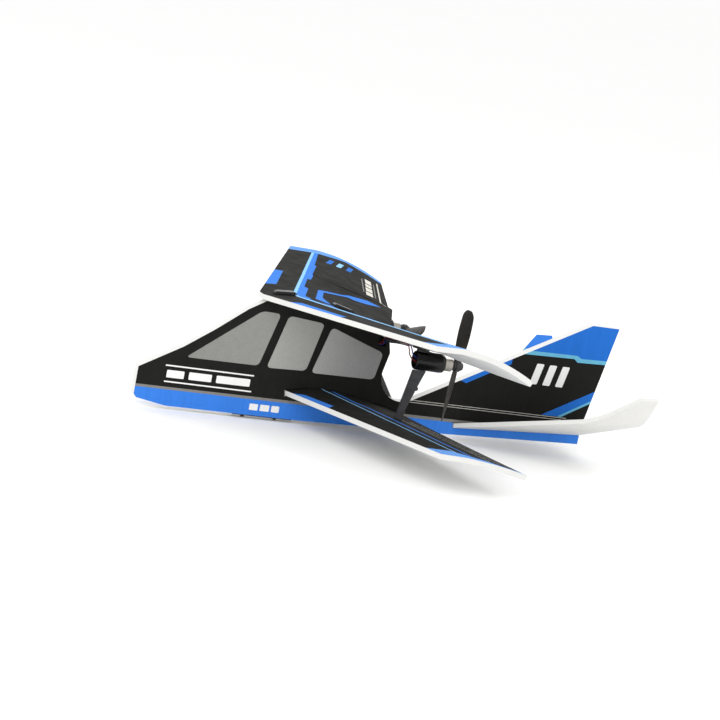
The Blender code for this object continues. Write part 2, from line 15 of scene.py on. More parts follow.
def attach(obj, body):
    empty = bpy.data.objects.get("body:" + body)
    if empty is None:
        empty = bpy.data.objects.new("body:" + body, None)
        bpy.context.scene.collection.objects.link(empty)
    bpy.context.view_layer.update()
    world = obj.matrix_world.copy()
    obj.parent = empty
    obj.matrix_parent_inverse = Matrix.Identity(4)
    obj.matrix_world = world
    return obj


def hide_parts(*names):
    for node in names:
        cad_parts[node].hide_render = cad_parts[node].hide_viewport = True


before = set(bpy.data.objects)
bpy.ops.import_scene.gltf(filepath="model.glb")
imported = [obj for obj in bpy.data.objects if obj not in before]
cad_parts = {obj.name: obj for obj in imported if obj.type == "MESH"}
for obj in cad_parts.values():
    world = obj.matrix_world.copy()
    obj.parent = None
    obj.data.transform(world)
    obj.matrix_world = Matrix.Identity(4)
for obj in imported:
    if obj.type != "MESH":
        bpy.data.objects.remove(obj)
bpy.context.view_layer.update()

# ------------------------------------------------------------------ dimensions, as in the CAD source

MM = 0.001
NOSE_X, DATUM_Z = -134.4, 11.6   # world X of the nose and world Z of the pinstripe, in millimetres
GAP = 0.3
BOARD, SHEET = 6.0, 2.8          # thickness of the fuselage board and of the wing sheets
ROOT_LAND = 3.4                  # half width of the flat strip in the middle of each sheet
CREASE = 0.26                    # chord share where the wings' flat front panel ends
UPPER_WING = {
    "le": (60.0, 56.3), "sweep": 0.437, "rise_out": 0.060, "tip_y": (125.0, 119.0),
    "sections": ((0.0, 77.6, 0.060, 0.10, 0.222), (0.335, 73.7, 0.035, 0.29, -0.075),
                 (0.445, 72.4, 0.030, 0.20, 0.070), (0.472, 69.4, 0.030, 0.18, 0.100),
                 (1.0, 57.4, -0.005, 0.08, 0.305)),
}
LOWER_WING = {
    "le": (82.3, 5.9), "sweep": 0.388, "rise_out": 0.026, "tip_y": (121.2, 118.6),
    "sections": ((0.0, 68.0, 0.170, 0.055, 0.16), (1.0, 50.1, -0.050, 0.09, 0.11)),
}
TAIL_SHEET = 2.4
TAIL_ROOT = (181.8, -1.5)
TAIL_REAR = 257.4
TAIL_SLOPE = 0.052
TAIL_BENDS = ((57.0, 20.3), (72.0, 52.7))
TAIL_TIP = 84.6
TAIL_CORNER = 58.75              # distance out to the corner in the tailplane's trailing edge
MOTOR_Y = 42.3
HUB_STATION, HUB_WATERLINE = 158.1, 38.4
THRUST_TILT = 1.6
PROP_RADIUS = 30.8
PROP_REST = {"left": 3.5, "right": 79.0}
SIDES = {"left": -1, "right": 1}
CLIP_STATIONS = (73.0, 107.0)
PEG_STATIONS = (132.6, 135.4)
NOTCH = (129.3, 134.2, 36.2, 45.0)   # stations and waterlines of the notch that the motor wires leave by
LAYOUT_MM = 60.0                 # length on the layout that stands for one whole chord


def place(station, side_y, waterline):
    return Vector(((station + NOSE_X) * MM, side_y * MM, (waterline + DATUM_Z) * MM))


def blend(start, end, share):
    return start + (end - start) * share


# ------------------------------------------------------------------ materials

def srgb(red, green, blue):
    """Linear colour from 0-255 display values."""
    made = []
    for value in (red, green, blue):
        share = value / 255.0
        made.append(share / 12.92 if share <= 0.04045 else ((share + 0.055) / 1.055) ** 2.4)
    return (*made, 1.0)


class Look:
    """A Principled material, and the node helpers that its detail is built from."""

    def __init__(self, name, roughness=0.5, metallic=0.0, specular=0.5):
        self.material = bpy.data.materials.new(name)
        self.material.use_nodes = True
        self.tree = self.material.node_tree
        self.shader = self.tree.nodes["Principled BSDF"]
        self.shader.inputs["Roughness"].default_value = roughness
        self.shader.inputs["Metallic"].default_value = metallic
        self.shader.inputs["Specular IOR Level"].default_value = specular
        self.spot = self.tree.nodes.new("ShaderNodeTexCoord").outputs["Object"]

    def node(self, kind, **settings):
        made = self.tree.nodes.new("ShaderNode" + kind)
        for key, value in settings.items():
            setattr(made, key, value)
        return made

    def link(self, source, target):
        self.tree.links.new(source, target)

    def stretched(self, scale):
        """Object coordinates scaled per axis."""
        mapping = self.node("Mapping")
        mapping.inputs["Scale"].default_value = scale
        self.link(self.spot, mapping.inputs["Vector"])
        return mapping.outputs["Vector"]

    def noise(self, scale, detail=3.0, vector=None):
        made = self.node("TexNoise")
        made.inputs["Scale"].default_value = scale
        made.inputs["Detail"].default_value = detail
        self.link(vector or self.spot, made.inputs["Vector"])
        return made.outputs["Fac"]

    def cells(self, scale, feature="F1", vector=None):
        made = self.node("TexVoronoi", feature=feature)
        made.inputs["Scale"].default_value = scale
        self.link(vector or self.spot, made.inputs["Vector"])
        return made.outputs["Distance"]

    def ramp(self, value, stops):
        """A value turned into a colour or a number through (place, colour or level) stops."""
        made = self.node("ValToRGB")
        band = made.color_ramp
        while len(band.elements) < len(stops):
            band.elements.new(0.5)
        for element, (at, level) in zip(band.elements, stops):
            element.position = at
            element.color = level if isinstance(level, tuple) else (level, level, level, 1.0)
        self.link(value, made.inputs["Fac"])
        return made.outputs["Color"]

    def mix(self, share, first, second):
        made = self.node("Mix", data_type="RGBA")
        self.link(share, made.inputs["Factor"])
        for source, socket in ((first, made.inputs["A"]), (second, made.inputs["B"])):
            if isinstance(source, tuple):
                socket.default_value = source
            else:
                self.link(source, socket)
        return made.outputs["Result"]

    def maths(self, operation, first, second):
        made = self.node("Math", operation=operation)
        for source, socket in ((first, made.inputs[0]), (second, made.inputs[1])):
            if isinstance(source, (int, float)):
                socket.default_value = source
            else:
                self.link(source, socket)
        return made.outputs["Value"]

    def colour(self, source):
        self.link(source, self.shader.inputs["Base Color"])

    def roughness(self, value, low, high):
        self.link(self.ramp(value, ((0.3, low), (0.7, high))), self.shader.inputs["Roughness"])

    def bump(self, *layers):
        """Height layers as (value, strength, distance in metres), one on top of the other."""
        normal = None
        for value, strength, distance in layers:
            made = self.node("Bump")
            made.inputs["Strength"].default_value = strength
            made.inputs["Distance"].default_value = distance
            self.link(value, made.inputs["Height"])
            if normal:
                self.link(normal, made.inputs["Normal"])
            normal = made.outputs["Normal"]
        self.link(normal, self.shader.inputs["Normal"])


def shade(colour, factor):
    return (*(channel * factor for channel in colour[:3]), 1.0)


def foam_look():
    """White extruded foam: fused beads, faint dents, and painted shade in the hollows between beads, a darker,
    slightly warm tone.
    """
    look = Look("white_foam", 0.7, specular=0.15)
    beads = look.cells(1150.0, "SMOOTH_F1")
    tone = look.mix(look.noise(55.0), srgb(217, 217, 214), srgb(226, 225, 222))
    # The bead edges are mixed towards a darker grey: painted shade in the hollows between the beads.
    look.colour(look.mix(look.ramp(beads, ((0.35, 0.0), (0.85, 0.22))), tone, srgb(204, 203, 198)))
    look.roughness(look.noise(400.0), 0.5, 0.72)
    look.bump((beads, 0.10, 0.00006), (look.noise(120.0, 3.0), 0.12, 0.00012))
    return look.material


def ink_look(name, colour, roughness=0.8, grain=0.05, weave=0.0):
    """Printed film on foam: a fine grain in the ink, faint streaks, and the foam's beads just felt below."""
    look = Look(name, roughness, specular=0.1)
    streaks = look.noise(90.0, 2.0, look.stretched((9.0, 9.0, 0.6)))
    speckle = look.noise(2600.0, 2.0)
    base = look.mix(look.ramp(streaks, ((0.3, 0.0), (0.7, 1.0))),
                    shade(colour, 1.0 - grain), shade(colour, 1.0 + grain))
    share = look.ramp(speckle, ((0.35, 0.0), (0.65, weave)))
    look.colour(look.mix(share, base, shade(colour, 1.32)))
    look.roughness(look.noise(160.0), roughness - 0.07, roughness + 0.08)
    look.bump((look.cells(1150.0, "SMOOTH_F1"), 0.08, 0.00005), (speckle, 0.10, 0.00003),
              (look.noise(35.0), 0.07, 0.00035))
    return look.material


def window_look(name, front, rear, stations):
    """Halftone grey that darkens aft, as printed windows do, made of fine dots."""
    look = Look(name, 0.75, specular=0.15)
    axes = look.node("SeparateXYZ")
    look.link(look.spot, axes.inputs["Vector"])
    low, high = ((station + NOSE_X) * MM for station in stations)
    fade = look.node("MapRange")
    look.link(axes.outputs["X"], fade.inputs["Value"])
    fade.inputs["From Min"].default_value = low
    fade.inputs["From Max"].default_value = high
    tone = look.mix(fade.outputs["Result"], front, rear)
    dots = look.cells(3000.0)
    mottle = look.noise(240.0, 4.0)
    inked = look.mix(look.ramp(dots, ((0.30, 0.0), (0.62, 0.22))), tone, srgb(92, 92, 90))
    look.colour(look.mix(look.ramp(mottle, ((0.4, 0.0), (0.75, 0.07))), inked, srgb(186, 186, 180)))
    look.roughness(look.noise(160.0), 0.68, 0.82)
    look.bump((look.cells(1150.0, "SMOOTH_F1"), 0.08, 0.00005), (look.noise(35.0), 0.07, 0.00035))
    return look.material


def plastic_look(name, colour, roughness, mottle=0.25, grain=0.12, worn=0.35, shine=0.5):
    """Moulded plastic: fine pebble, flow marks, and edges rubbed a little lighter."""
    look = Look(name, roughness, specular=shine)
    flow = look.noise(120.0, 4.0, look.stretched((1.0, 1.0, 3.0)))
    base = look.mix(look.ramp(flow, ((0.3, 0.0), (0.7, 1.0))),
                    shade(colour, 1.0 - mottle), shade(colour, 1.0 + mottle))
    edge = look.node("NewGeometry").outputs["Pointiness"]
    rubbed = look.maths("MULTIPLY", look.ramp(edge, ((0.52, 0.0), (0.60, worn))), look.noise(500.0))
    look.colour(look.mix(rubbed, base, shade(colour, 4.0)))
    look.roughness(look.noise(420.0), roughness - 0.07, roughness + 0.1)
    look.bump((look.noise(3200.0, 2.0), grain, 0.00003), (look.noise(140.0), 0.10, 0.00012))
    return look.material


def gloss_look(name, colour):
    """Polished plastic: an even gloss, with faint flow lines and handling haze."""
    look = Look(name, 0.24, specular=0.32)
    flow = look.noise(60.0, 2.0, look.stretched((1.0, 1.0, 3.0)))
    look.colour(look.mix(flow, shade(colour, 0.85), shade(colour, 1.15)))
    look.roughness(look.noise(70.0, 1.0), 0.21, 0.27)
    look.bump((look.noise(90.0, 1.0), 0.03, 0.00003))
    return look.material


def metal_look(name, colour, roughness, turned=True):
    """Drawn steel or plated brass: fine rings round the axis, smudges, and warm staining."""
    look = Look(name, roughness, metallic=1.0)
    rings = look.noise(300.0, 3.0, look.stretched((22.0, 1.0, 1.0) if turned else (1.0, 6.0, 6.0)))
    smudge = look.noise(160.0, 3.0)
    look.colour(look.mix(look.ramp(smudge, ((0.35, 0.0), (0.75, 1.0))), colour, shade(colour, 0.78)))
    look.roughness(look.maths("MULTIPLY_ADD", rings, 0.8), roughness - 0.06, roughness + 0.14)
    look.bump((rings, 0.22, 0.00002))
    return look.material


def wire_look(name, colour):
    """Soft insulation with a slight gloss and small kinks in its surface."""
    look = Look(name, 0.33, specular=0.55)
    look.colour(look.mix(look.noise(260.0), shade(colour, 0.75), shade(colour, 1.25)))
    look.roughness(look.noise(700.0), 0.26, 0.44)
    look.bump((look.noise(900.0), 0.25, 0.00005))
    return look.material


def tape_look():
    look = Look("cloth_tape", 0.6, specular=0.35)
    weave = look.node("TexWave")
    weave.inputs["Scale"].default_value = 900.0
    wrinkles = look.noise(180.0, 3.0, look.stretched((1.0, 3.0, 1.0)))
    # The wrinkle noise also sets the colour, darker in its troughs and lighter on its ridges: painted shade and
    # painted highlight on the wrinkles.
    look.colour(look.mix(wrinkles, srgb(24, 24, 25), srgb(46, 46, 47)))
    look.roughness(look.noise(300.0), 0.5, 0.75)
    look.bump((wrinkles, 0.5, 0.0002), (weave.outputs["Fac"], 0.08, 0.00003))
    return look.material


def board_look():
    """Green circuit board: solder mask over copper tracks."""
    look = Look("solder_mask", 0.35)
    tracks = look.cells(700.0, "DISTANCE_TO_EDGE")
    look.colour(look.mix(look.ramp(tracks, ((0.04, 1.0), (0.09, 0.0))), srgb(16, 92, 52), srgb(52, 140, 84)))
    look.roughness(look.noise(500.0), 0.28, 0.45)
    look.bump((look.ramp(tracks, ((0.04, 1.0), (0.09, 0.0))), 0.3, 0.00004))
    return look.material


WHITE = foam_look()
INKS = {
    "foam": WHITE,
    "black": ink_look("ink_black", srgb(30, 30, 28), 0.8, 0.08, 0.10),
    "blue": ink_look("ink_blue", srgb(58, 125, 218), 0.8, 0.05, 0.20),
    "deep_blue": ink_look("ink_deep_blue", srgb(38, 109, 200), 0.8, 0.04, 0.12),
    "cyan": ink_look("ink_cyan", srgb(104, 178, 208), 0.8, 0.04, 0.15),
    "pale_cyan": ink_look("ink_pale_cyan", srgb(140, 196, 238), 0.8, 0.04, 0.15),
    "grey": ink_look("ink_grey", srgb(128, 126, 122), 0.8, 0.05, 0.15),
    "white": ink_look("ink_white", srgb(240, 240, 238), 0.8, 0.02, 0.0),
    "ivory": ink_look("ink_ivory", srgb(214, 212, 202), 0.8, 0.04, 0.2),
    "silver": ink_look("ink_silver", srgb(190, 188, 180), 0.8, 0.04, 0.15),
    "tip_blue": ink_look("ink_tip_blue", srgb(104, 156, 226), 0.8, 0.05, 0.2),
    "window_front": window_look("window_front", srgb(140, 140, 135), srgb(154, 154, 149), (24.0, 72.0)),
    "window_middle": window_look("window_middle", srgb(172, 172, 166), srgb(168, 168, 163), (70.0, 97.0)),
    "window_rear": window_look("window_rear", srgb(182, 182, 179), srgb(152, 152, 151), (95.0, 133.0)),
}
INK_ORDER = list(INKS)

LOOKS = {
    "gloss_black": gloss_look("gloss_black", srgb(11, 11, 11)),
    "satin_black": plastic_look("satin_black", srgb(30, 30, 31), 0.42),
    "satin_grey": plastic_look("satin_grey", srgb(58, 58, 60), 0.5, worn=0.1, shine=0.3),
    "blade_brown": plastic_look("blade_brown", srgb(48, 45, 40), 0.40, mottle=0.18, grain=0.1, worn=0.1,
                                shine=0.22),
    "can_steel": metal_look("can_steel", (0.40, 0.375, 0.34, 1.0), 0.16),
    "shaft_steel": metal_look("shaft_steel", (0.62, 0.61, 0.60, 1.0), 0.25, turned=False),
    "plated_shell": metal_look("plated_shell", (0.72, 0.72, 0.71, 1.0), 0.26, turned=False),
    "cap_white": plastic_look("cap_white", srgb(225, 222, 212), 0.5, mottle=0.06, worn=0.0),
    "foil": metal_look("cell_foil", (0.60, 0.60, 0.62, 1.0), 0.34, turned=False),
    "chip": plastic_look("chip_black", srgb(28, 28, 30), 0.5, grain=0.3),
    "red_wire": wire_look("red_insulation", srgb(120, 20, 24)),
    "blue_wire": wire_look("blue_insulation", srgb(26, 40, 118)),
    "tape": tape_look(),
    "board": board_look(),
}


# ------------------------------------------------------------------ printed foam

def inside(spot, loop):
    """Whether a layout point is inside a closed loop, by the even-odd rule."""
    x, y = spot
    found = False
    before = loop[-1]
    for here in loop:
        if (here[1] > y) != (before[1] > y):
            if x < (before[0] - here[0]) * (y - here[1]) / (before[1] - here[1]) + here[0]:
                found = not found
        before = here
    return found


def tiled(outline, holes, prints, guides, fill):
    """Layout points, and triangles with their ink: the outline cut up along every print, hole and guide line."""
    points, edges = [], []
    for loop, closed in [(outline, True)] + [(hole, True) for hole in holes] \
            + [(shape, True) for _, shape in prints] + [(line, False) for line in guides]:
        first = len(points)
        points += [Vector(spot) for spot in loop]
        edges += [(first + step, first + step + 1) for step in range(len(loop) - 1)]
        if closed:
            edges.append((len(points) - 1, first))
    points += [Vector(spot) for spot in fill]
    spots, _, faces, *_ = delaunay_2d_cdt(points, edges, [], 0, 1e-3)
    boxes = [(min(x for x, _ in shape), max(x for x, _ in shape), min(y for _, y in shape),
              max(y for _, y in shape)) for _, shape in prints]
    triangles = []
    for face in faces:
        middle = sum((spots[index] for index in face), Vector((0.0, 0.0))) / len(face)
        if not inside(middle, outline) or any(inside(middle, hole) for hole in holes):
            continue
        ink = "black"
        for (name, shape), (left, right, low, high) in zip(prints, boxes):
            if left <= middle.x <= right and low <= middle.y <= high and inside(middle, shape):
                ink = name
        triangles.append((face, ink))
    return spots, triangles


def foam_piece(name, spots, triangles, top, bottom, both_printed=False, edge_radius=0.3):
    """A foam sheet from its layout: printed top, underside and white cut edges, with softened corners."""
    bm = bmesh.new()
    used = sorted({index for face, _ in triangles for index in face})
    upper = {index: bm.verts.new(top(spots[index])) for index in used}
    lower = {index: bm.verts.new(bottom(spots[index])) for index in used}
    sides = {}
    for face, ink in triangles:
        above = bm.faces.new([upper[index] for index in face])
        below = bm.faces.new([lower[index] for index in reversed(face)])
        above.material_index = INK_ORDER.index(ink)
        below.material_index = INK_ORDER.index(ink if both_printed else "foam")
        for start, end in zip(face, face[1:] + face[:1]):
            if (end, start) in sides:
                del sides[end, start]
            else:
                sides[start, end] = True
    for start, end in sides:
        bm.faces.new((upper[end], upper[start], lower[start], lower[end]))
    bmesh.ops.recalc_face_normals(bm, faces=bm.faces)
    mesh = bpy.data.meshes.new(name)
    bm.to_mesh(mesh)
    bm.free()
    for ink in INK_ORDER:
        mesh.materials.append(INKS[ink])
    made = bpy.data.objects.new(name, mesh)
    bpy.context.scene.collection.objects.link(made)
    mesh.shade_smooth()
    mesh.set_sharp_from_angle(angle=math.radians(24))
    edge = made.modifiers.new("soft_edges", "BEVEL")
    edge.width = edge_radius * MM
    edge.segments = 2
    edge.limit_method = "ANGLE"
    edge.angle_limit = math.radians(50)
    return made


def slab(bm, corners, offset):
    """A closed plate: a polygon of world points, pushed along an offset."""
    near = [bm.verts.new(corner) for corner in corners]
    far = [bm.verts.new(corner + offset) for corner in corners]
    bm.faces.new(near)
    bm.faces.new(far)
    for index in range(len(near)):
        after = (index + 1) % len(near)
        bm.faces.new((near[index], near[after], far[after], far[index]))


def stripe(points, width):
    """A closed strip of even width along a layout line."""
    left, right = [], []
    for index, spot in enumerate(points):
        before = points[max(index - 1, 0)]
        after = points[min(index + 1, len(points) - 1)]
        along = Vector((after[0] - before[0], after[1] - before[1])).normalized()
        across = Vector((-along.y, along.x)) * width / 2
        left.append((spot[0] + across.x, spot[1] + across.y))
        right.append((spot[0] - across.x, spot[1] - across.y))
    return left + right[::-1]


def rounded(loop, radius, steps=4):
    """A closed loop with its corners rounded."""
    made = []
    for before, here, after in zip(loop[-1:] + loop[:-1], loop, loop[1:] + loop[:1]):
        corner = Vector(here)
        back = (Vector(before) - corner).normalized() * radius
        forth = (Vector(after) - corner).normalized() * radius
        for step in range(steps + 1):
            share = step / steps
            spot = corner + back * (1 - share) ** 2 + forth * share ** 2
            made.append((spot.x, spot.y))
    return made


def bar(left, right, low, high, lean=0.0):
    """A plain block, leaning by this much over its height."""
    return [(left, low), (right, low), (right + lean, high), (left + lean, high)]


# ------------------------------------------------------------------ wings

def wing_section(wing, outward):
    sections = wing["sections"]
    for inner, outer in zip(sections, sections[1:]):
        if outward <= outer[0]:
            break
    share = (outward - inner[0]) / (outer[0] - inner[0])
    return [blend(a, b, share) for a, b in zip(inner[1:], outer[1:])]


def wing_reach(wing, share):
    """How far out the tip is at a chord share."""
    return blend(*wing["tip_y"], share)


def wing_outward(wing, y, share):
    return (max(abs(y), ROOT_LAND) - ROOT_LAND) / (wing_reach(wing, share) - ROOT_LAND)


def wing_point(wing, y, share, depth=0.0):
    """A point of a wing over its flat layout, this far below its top."""
    outward = wing_outward(wing, y, share)
    chord, rise, start, curve = wing_section(wing, outward)
    front = min(share, CREASE)
    rear = max(share - CREASE, 0.0)
    station = wing["le"][0] + wing["sweep"] * (wing["tip_y"][0] - ROOT_LAND) * outward + chord * share
    waterline = wing["le"][1] + wing["rise_out"] * (max(abs(y), ROOT_LAND) - ROOT_LAND)
    waterline += chord * (rise * front - start * rear - curve * rear ** 2)
    slope = rise if share < CREASE else -(start + 2 * curve * rear)
    steep = math.hypot(1.0, slope)
    return place(station + depth * slope / steep, y, waterline - depth / steep)


def wing_share(wing, station, y):
    """The chord share that lies over a station, at a distance from the middle."""
    share = 0.5
    for _ in range(6):
        outward = wing_outward(wing, y, share)
        leading = wing["le"][0] + wing["sweep"] * (wing["tip_y"][0] - ROOT_LAND) * outward
        share = (station - leading) / wing_section(wing, outward)[0]
    return share


def both_halves(shapes):
    return [(ink, [(side * y, share) for y, share in shape]) for side in (-1, 1) for ink, shape in shapes]


def build_wing(name, wing, node, prints, holes):
    """A printed wing sheet. Prints and holes are loops of (distance out, chord share)."""
    def layout(loop):
        return [(y, share * LAYOUT_MM) for y, share in loop]

    def spot_on(depth):
        return lambda spot: wing_point(wing, spot.x, min(max(spot.y / LAYOUT_MM, 0.0), 1.0), depth)

    strips = 14
    shares = [0.0, 0.09, 0.17, CREASE] + [blend(CREASE, 1.0, step / strips) for step in range(1, strips + 1)]
    outline = [(-wing_reach(wing, share), share) for share in shares]
    outline += [(wing_reach(wing, share), share) for share in reversed(shares)]
    kinks = [section[0] for section in wing["sections"][:-1]]
    guides = [[(-wing_reach(wing, CREASE), CREASE), (wing_reach(wing, CREASE), CREASE)]]
    for side in (-1, 1):
        for outward in kinks:
            guides.append([(side * blend(ROOT_LAND, wing_reach(wing, share), outward), share)
                           for share in (0.0, 1.0)])
    fill = []
    columns = 20
    for share in shares:
        for column in range(columns):
            y = blend(ROOT_LAND, wing_reach(wing, share), column / columns)
            fill += [(y, share), (-y, share)]
    spots, triangles = tiled(layout(outline), [layout(hole) for hole in holes],
                             [(ink, layout(shape)) for ink, shape in prints],
                             [layout(line) for line in guides], layout(fill))
    made = foam_piece(name, spots, triangles, spot_on(0.0), spot_on(SHEET))
    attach(made, "airframe")
    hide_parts(node)
    return made


def tip_band(wing, front, rear):
    """A stripe along a wing's tip edge, this wide on the flat front panel and at the rear."""
    outer = [(wing_reach(wing, share) + 1.0, share) for share in (-0.02, 1.02)]
    inner = [(wing_reach(wing, share) - width, share)
             for share, width in ((1.02, rear), (0.60, rear), (CREASE, front), (-0.02, front))]
    return outer + inner


def straight(y, share):
    """The chord share on the upper wing where a print line runs straight past the step in its trailing edge."""
    sections = UPPER_WING["sections"]
    outward = min(wing_outward(UPPER_WING, y, share), 1.0)
    return y, share * blend(sections[0][1], sections[-1][1], outward) / wing_section(UPPER_WING, outward)[0]


def spanwise():
    """Places out along the upper wing where a straight print line needs a point."""
    kinks = [blend(ROOT_LAND, UPPER_WING["tip_y"][0], section[0]) for section in UPPER_WING["sections"]]
    return sorted([-y for y in kinks[1:]] + kinks)


def upper_wing_prints():
    half = [
        ("blue", [(22.9, -0.01), (59.4, -0.01), (57.4, 0.072), (23.7, 0.084)]),
        ("blue", [straight(y, 0.25) for y in spanwise() if y > 0] + [
            (126.0, 0.302), (83.4, 0.308), (82.6, 0.326), (47.1, 0.312), (46.1, 0.284), (25.6, 0.292),
            (24.4, 0.324), (3.4, 0.332), (0.0, 0.36), (-1.0, 0.36), (-1.0, 0.25)]),
        ("blue", [(30.4, 0.397), (33.7, 0.436), (46.3, 0.630), (50.2, 0.787), (47.4, 0.901), (43.2, 0.786),
                  (41.4, 0.684), (42.6, 0.626), (29.3, 0.441), (13.4, 0.452), (3.4, 0.522), (1.6, 0.51),
                  (4.5, 0.408)]),
        ("grey", stripe([(96.5, 0.766), (67.3, 0.780)], 0.011)),
        ("grey", stripe([(97.0, 0.890), (64.6, 0.889)], 0.011)),
        ("ivory", stripe([(105.6, 0.934), (59.3, 0.930), (55.4, 0.95)], 0.014)),
    ]
    for low, high in ((63.0, 70.6), (72.4, 80.4), (82.2, 88.6), (90.4, 99.6)):
        half.append(("ivory", [(low, 0.803), (high, 0.798), (high + 0.5, 0.864), (low + 0.5, 0.866)]))
    for start, ink in ((0.40, "deep_blue"), (0.50, "pale_cyan"), (0.60, "deep_blue")):
        half.append((ink, [(98.0, start), (108.0, start + 0.03), (108.0, start + 0.08), (98.0, start + 0.05)]))
    crest = [straight(y, 0.238) for y in spanwise()] + [straight(y, 0.264) for y in reversed(spanwise())]
    return both_halves(half) + [("pale_cyan", crest)] + both_halves([("tip_blue", tip_band(UPPER_WING, 9.0, 4.5))])


def lower_wing_prints():
    half = [
        ("blue", [(8.0, -0.01), (38.0, -0.01), (34.0, 0.085), (13.0, 0.065)]),
        ("blue", [(3.0, 0.38), (24.0, 0.38), (31.0, 0.42), (112.0, 0.44), (112.0, 0.465), (30.0, 0.45),
                  (22.0, 0.41), (3.0, 0.41)]),
    ]
    for start in (0.62, 0.72, 0.82):
        half.append(("silver", stripe([(40.0, start), (112.0, start + 0.04)], 0.011)))
    across = [("pale_cyan", [(-127.0, 0.298), (127.0, 0.298), (127.0, 0.318), (-127.0, 0.318)])]
    return both_halves(half) + across + both_halves([("tip_blue", tip_band(LOWER_WING, 11.0, 5.0))])


# ------------------------------------------------------------------ tailplane

def tail_angle(along):
    (inner, inner_angle), (outer, outer_angle) = TAIL_BENDS
    if along < ROOT_LAND:
        return 0.0
    share = min(max((along - inner) / (outer - inner), 0.0), 1.0)
    return math.radians(blend(inner_angle, outer_angle, share))


def tail_section(along, steps=120):
    y = up = 0.0
    for step in range(steps):
        angle = tail_angle(along * (step + 0.5) / steps)
        y += along / steps * math.cos(angle)
        up += along / steps * math.sin(angle)
    return y, up


def tail_point(spot, depth=0.0):
    """A point of the tailplane over its layout (along, chord share), this far below its top."""
    along = abs(spot.x)
    side = 1 if spot.x > 0 else -1
    leading = TAIL_ROOT[0] + 0.90 * max(along - ROOT_LAND, 0.0)
    trailing = TAIL_REAR + 8.4 * min(along, TAIL_CORNER) / TAIL_CORNER - max(along - TAIL_CORNER, 0.0) / 25.0
    station = blend(leading, trailing, spot.y / LAYOUT_MM)
    y, up = tail_section(along)
    angle, stretch = tail_angle(along), 1.0
    if abs(along - ROOT_LAND) < 0.01:
        angle = math.radians(TAIL_BENDS[0][1]) / 2
        stretch = 1 / math.cos(angle)
    y += depth * stretch * math.sin(angle)
    up -= depth * stretch * math.cos(angle)
    return place(station, side * y, TAIL_ROOT[1] + up + TAIL_SLOPE * (station - TAIL_ROOT[0]))


def build_tailplane():
    def layout(loop):
        return [(along, share * LAYOUT_MM) for along, share in loop]

    shares = [step / 10 for step in range(11)]
    stops = [TAIL_CORNER] + [TAIL_BENDS[0][0] + 2.0 * step for step in range(8)] + [TAIL_BENDS[1][0], 78.0]
    outline = [(-TAIL_TIP, share) for share in shares] + [(TAIL_TIP, share) for share in reversed(shares)]
    guides = [[(side * along, 0.0), (side * along, 1.0)] for side in (-1, 1) for along in [ROOT_LAND] + stops]
    fill = [(side * along, share) for side in (-1, 1) for along in (12.0, 22.0, 32.0, 42.0, 50.0) for share in shares]
    half = [
        ("cyan", [(71.7, -0.1), (71.7, 1.1), (86.0, 1.1), (86.0, -0.1)]),
        ("blue", [(75.0, -0.1), (75.0, 1.1), (86.0, 1.1), (86.0, -0.1)]),
        ("blue", [(14.0, -0.05), (34.0, -0.05), (31.0, 0.10), (16.0, 0.08)]),
        ("grey", stripe([(10.0, 0.80), (60.0, 0.76)], 0.014)),
        ("grey", stripe([(10.0, 0.85), (60.0, 0.81)], 0.014)),
    ]
    spots, triangles = tiled(layout(outline), [], [(ink, layout(shape)) for ink, shape in both_halves(half)],
                             [layout(line) for line in guides], layout(fill))
    made = foam_piece("tailplane_foam", spots, triangles, tail_point, lambda spot: tail_point(spot, TAIL_SHEET))
    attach(made, "airframe")
    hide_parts("tailplane")


# ------------------------------------------------------------------ fuselage

def arc(centre, radius, start, end, steps):
    turns = [math.radians(blend(start, end, step / steps)) for step in range(steps + 1)]
    return [(centre[0] + radius * math.cos(turn), centre[1] + radius * math.sin(turn)) for turn in turns]


def on_side_view(spot):
    return spot.x / MM - NOSE_X, spot.z / MM - DATUM_Z


TAIL_SLOT_LE = TAIL_ROOT[0] - GAP


def tail_slot_top(station):
    return TAIL_ROOT[1] + TAIL_SLOPE * (station - TAIL_ROOT[0]) + GAP


def tail_slot_floor(station):
    return tail_slot_top(station) - TAIL_SHEET - 2 * GAP


def fuselage_outline():
    windshield = [(0.0, 9.7), (22.5, 23.0), (38.0, 34.3), (54.0, 47.2), (62.5, 52.4)]
    under_wing = []
    for step in range(9):
        under_wing.append(on_side_view(wing_point(UPPER_WING, 0.0, 0.05 + 0.94 * step / 8, SHEET + GAP + 0.1)))
    notch = arc((148.5, 20.5), 13.6, 166.5, 299.0, 18)
    fin = [(252.7, 62.4), (268.9, 62.4), (259.2, 10.6), (257.6, tail_slot_top(257.6))]
    tail_slot = [(TAIL_SLOT_LE, tail_slot_top(TAIL_SLOT_LE)), (TAIL_SLOT_LE, tail_slot_floor(TAIL_SLOT_LE)),
                 (258.0, tail_slot_floor(258.0))]
    belly = [(257.9, -5.4), (173.4, -8.3), (92.0, -9.8), (18.0, -9.8)]
    nose = [(1.6, -7.0), (0.0, -5.2)]
    return windshield + under_wing + [(137.2, 33.0)] + notch + fin + tail_slot + belly + nose


def fuselage_holes():
    """The lower wing's slot, and the notch where the motor wires leave the cabin's top edge."""
    slot = []
    shares = [-0.007, CREASE / 2] + [blend(CREASE, 1.0, step / 8) for step in range(8)] + [1.007]
    for depth, order in ((-GAP - 0.1, shares), (SHEET + GAP + 0.1, shares[::-1])):
        slot += [on_side_view(wing_point(LOWER_WING, 0.0, share, depth)) for share in order]
    return [slot, bar(*NOTCH)]


